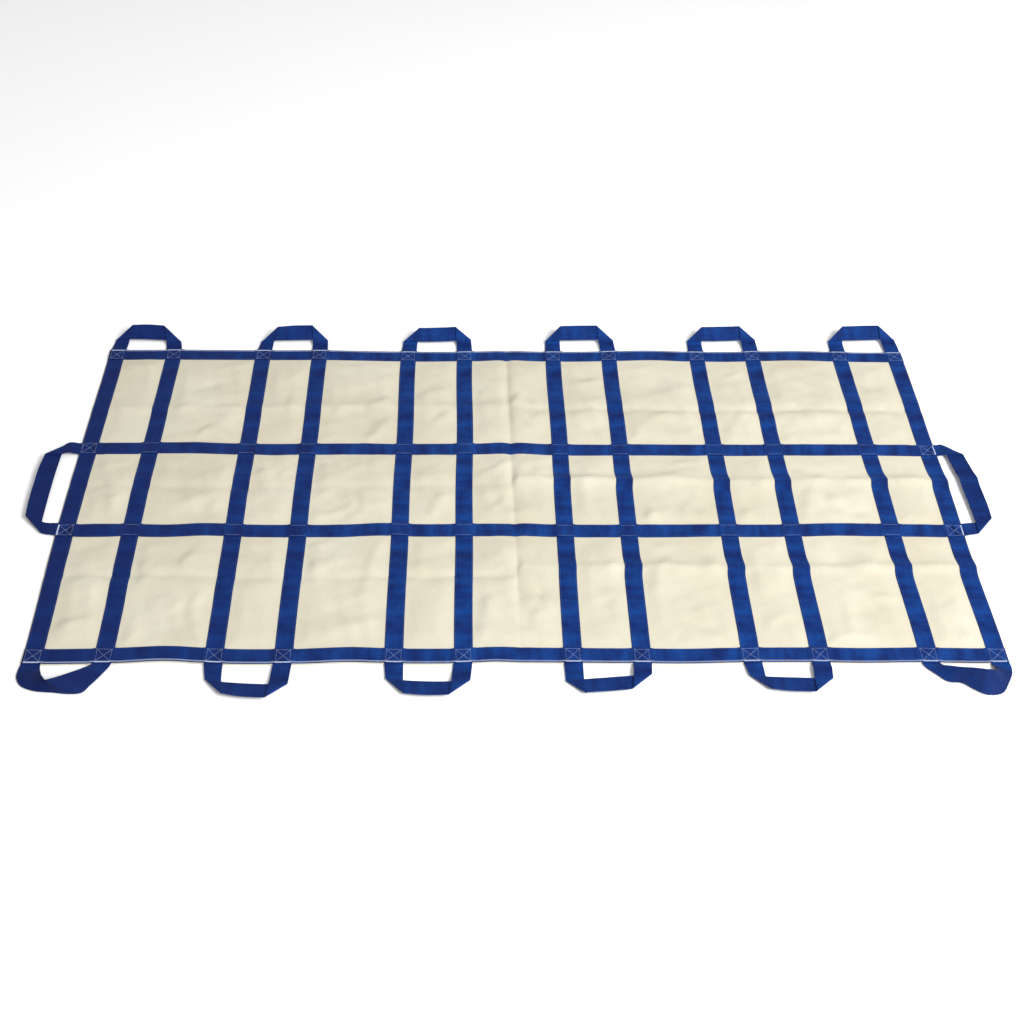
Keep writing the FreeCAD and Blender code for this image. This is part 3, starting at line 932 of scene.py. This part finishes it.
def joined(name, objects):
    # Joins plain meshes into one piece.
    shape = bmesh.new()
    materials = []
    for thing in objects:
        first = len(shape.faces)
        shape.from_mesh(thing.data)
        shape.faces.ensure_lookup_table()
        for face in shape.faces[first:]:
            thread = thing.data.materials[face.material_index]
            if thread not in materials:
                materials.append(thread)
            face.material_index = materials.index(thread)
    mesh = bpy.data.meshes.new(name)
    shape.to_mesh(mesh)
    shape.free()
    for thread in materials:
        mesh.materials.append(thread)
    for thing in objects:
        bpy.data.objects.remove(thing)
    return addObject(name, mesh)


def lineOn(start, end, onLong, lift, step=0.004):
    # Points from start to end on a long strap or a cross strap, or, where onLong is None, below
    # the canvas.
    length = math.dist(start, end)
    share = np.linspace(0, 1, max(2, int(length / step) + 1))
    x = start[0] + (end[0] - start[0]) * share
    y = start[1] + (end[1] - start[1]) * share
    z = 0 * x
    if onLong is not None:
        z = clothThick + webLift / 2 + webThick * 0.46 + webLift * humpAt(x) * onLong
    return laid(np.stack([x, y, z + lift], axis=-1))


def seamLines(side):
    # Two seams along every strap of one half; side is -1 for the left half and 1 for the right.
    lift = liftOf("seam")
    inset = halfWeb - stitching["seamInset"]
    top, under = [], []
    low, high = sorted((0.0, side * (strapEnd - 0.002)))
    for row in rowNames:
        for edge in (-1, 1):
            y = rowCentres[row] + edge * inset
            top.append(lineOn((low, y), (high, y), True, lift, 0.002))
            under.append(lineOn((low, y), (high, y), None, 0.0))
    stops = sorted(rowCentres.values())
    for centre in crossCentres:
        if centre * side < 0:
            continue
        for edge in (-1, 1):
            x = centre + edge * inset
            for near, far in zip(stops[:-1], stops[1:]):
                top.append(lineOn((x, near + halfWeb), (x, far - halfWeb), False, lift))
            under.append(lineOn((x, stops[0]), (x, stops[-1]), None, 0.0))
    inner = clothSide - lay["hemWidth"] + 0.002
    endLine = side * (clothEnd - lay["hemWidth"] + 0.002)
    hemLines = [((0.0, y), (endLine, y)) for y in (-inner, inner)]
    hemLines.append(((endLine, -inner), (endLine, inner)))
    under += [lineOn(start, end, None, -canvasShape["hemExtra"] / 2) for start, end in hemLines]
    return top, under


def boxLines(x, y, lift, drift):
    # A stitched square and its two diagonals. drift holds a shift for each corner.
    half = stitching["boxSide"] / 2
    square = [(x + side * half + dx, y + up * half + dy)
              for (side, up), (dx, dy) in zip(((-1, -1), (1, -1), (1, 1), (-1, 1)), drift)]
    return ([lineOn(square[i], square[(i + 1) % 4], True, lift) for i in range(4)],
            [lineOn(square[i], square[i + 2], True, lift) for i in range(2)])


def strongLines(side):
    # Boxes, their dense outer bars, and the double rows of the inner crossings.
    boxes, crosses, bars, rows = [], [], [], []
    random = np.random.default_rng(stitching["boxSeed"] + side)
    lift = liftOf("box")
    half = stitching["boxSide"] / 2
    outer = half + stitchKinds["bar"][1] * 0.35
    outermost = max(crossCentres)
    for x in (centre for centre in crossCentres if centre * side > 0):
        for row in rowNames:
            y = rowCentres[row]
            isEdge = row.endswith("edge")
            if isEdge or abs(abs(x) - outermost) < 0.001:
                drift = random.uniform(-1, 1, (4, 2)) * stitching["boxDrift"]
                square, diagonals = boxLines(x, y, lift, drift)
                boxes += square
                crosses += diagonals
                if isEdge:
                    bar = y + math.copysign(outer, y)
                    bars.append(lineOn((x - half, bar), (x + half, bar), True, lift))
                else:
                    bar = x + side * outer
                    bars.append(lineOn((bar, y - half), (bar, y + half), True, lift))
            else:
                for edge in (-1, 1):
                    line = y + edge * half
                    rows.append(lineOn((x - half, line), (x + half, line), True, lift))
    return boxes, crosses, bars, rows


def edgeLinesOn(side):
    # The wide seams along the outer edges of the two edge straps, between the boxes.
    lines = []
    half = stitching["boxSide"] / 2
    stops = [0.0] + sorted(abs(centre) for centre in crossCentres if centre * side > 0)
    gap = half + stitching["endGap"]
    for row in ("far_edge", "near_edge"):
        y = rowCentres[row] + math.copysign(halfWeb - stitching["edgeInset"], rowCentres[row])
        for low, high in zip(stops[:-1], stops[1:]):
            start = low + (gap if low else 0.0)
            lines.append(lineOn((side * start, y), (side * (high - gap), y), True,
                                liftOf("edge"), 0.002))
    return lines


def makeStitches(half, side):
    boxes, crosses, bars, rows = strongLines(side)
    strong = joined("box_stitching_" + half, [sew("boxes", boxes, "box"),
                                              sew("crosses", crosses, "cross"),
                                              sew("bars", bars, "bar")])
    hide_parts("box_stitches_" + half)
    double = sew("row_stitching_" + half, rows, "row")
    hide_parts("row_stitches_" + half)
    top, under = seamLines(side)
    pieces = [strong, double, sew("seams_" + half, top, "seam"),
              sew("under_seams_" + half, under, "seam"),
              sew("edge_seams_" + half, edgeLinesOn(side), "edge")]
    return pieces


stitches = {half: makeStitches(half, side) for half, side in (("left", -1), ("right", 1))}
print("stitches ready")


for piece in [canvas] + longStraps + stitches["right"][2:]:
    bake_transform(piece)
for piece in stitches["left"]:
    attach(piece, "left_half")
for piece in stitches["right"][:2]:
    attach(piece, "right_half")
for piece, centre in zip(crossStraps, crossCentres):
    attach(piece, "left_half" if centre < 0 else "right_half")

for joint in frame["joints"]:
    if joint["child"] not in loops:
        continue
    start = Vector(joint["pos_m"])
    away = Vector(joint["axis"]).cross(Vector((0, 0, 1)))
    if away.dot(start) < 0:
        away = -away
    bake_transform(loops[joint["child"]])

print("bodies joined")


stage = {
    "floorSize": 14.0,
    "floorColours": ((0.90, 0.90, 0.90, 1), (0.88, 0.88, 0.885, 1)),
    "skyStrength": 0.60,
    "keyPower": 500.0,
    "keyPlace": (3.2, -3.0, 4.1),
    "keySize": 2.6,
    "fillPower": 4.0,
    "fillPlace": (-2.6, 1.8, 2.8),
    "fillSize": 3.0,
}

view = {
    "place": (-0.0963, -2.2115, 2.1312),
    "down": 44.84,  # degrees, as are the next two
    "aside": -2.46,
    "roll": 1.78,
    "lens": 47.9,
}


def makeFloor():
    half = stage["floorSize"] / 2
    mesh = bpy.data.meshes.new("floor")
    corners = [(-half, -half, 0), (half, -half, 0), (half, half, 0), (-half, half, 0)]
    mesh.from_pydata(corners, [], [(0, 1, 2, 3)])
    material, tree, shader = newMaterial("pale_floor")
    place = tree.nodes.new("ShaderNodeTexCoord").outputs["Object"]
    setInputs(tree, shader, {
        "Base Color": colourMix(tree, noise(tree, place, 2.0), *stage["floorColours"]),
        "Roughness": 0.9, "Specular IOR Level": 0.1})
    mesh.materials.append(material)
    addObject("floor", mesh)


def makeLight(name):
    light = bpy.data.lights.new(name, "AREA")
    light.energy = stage[name + "Power"]
    light.size = stage[name + "Size"]
    lamp = addObject(name, light)
    lamp.location = stage[name + "Place"]
    lamp.rotation_euler = Vector(lamp.location).to_track_quat("Z", "Y").to_euler()


def makeCamera():
    down, aside, roll = (math.radians(view[key]) for key in ("down", "aside", "roll"))
    ahead = Vector((-math.sin(aside) * math.cos(down), math.cos(aside) * math.cos(down),
                    -math.sin(down)))
    right = Vector((math.cos(aside), math.sin(aside), 0))
    above = right.cross(ahead)
    turned = Matrix.Rotation(-roll, 3, ahead)
    right, above = turned @ right, turned @ above
    lens = bpy.data.cameras.new("camera")
    lens.lens = view["lens"]
    lens.sensor_width = 36.0
    camera = addObject("camera", lens)
    camera.matrix_world = Matrix.Translation(view["place"]) @ Matrix(
        (right, above, -ahead)).transposed().to_4x4()
    bpy.context.scene.camera = camera


makeFloor()
makeLight("key")
makeLight("fill")
makeCamera()
sky = bpy.data.worlds.new("sky")
sky.use_nodes = True
sky.node_tree.nodes["Background"].inputs["Color"].default_value = (1, 1, 1, 1)
sky.node_tree.nodes["Background"].inputs["Strength"].default_value = stage["skyStrength"]
bpy.context.scene.world = sky
bpy.context.scene.view_settings.view_transform = "Standard"
print("stage ready")
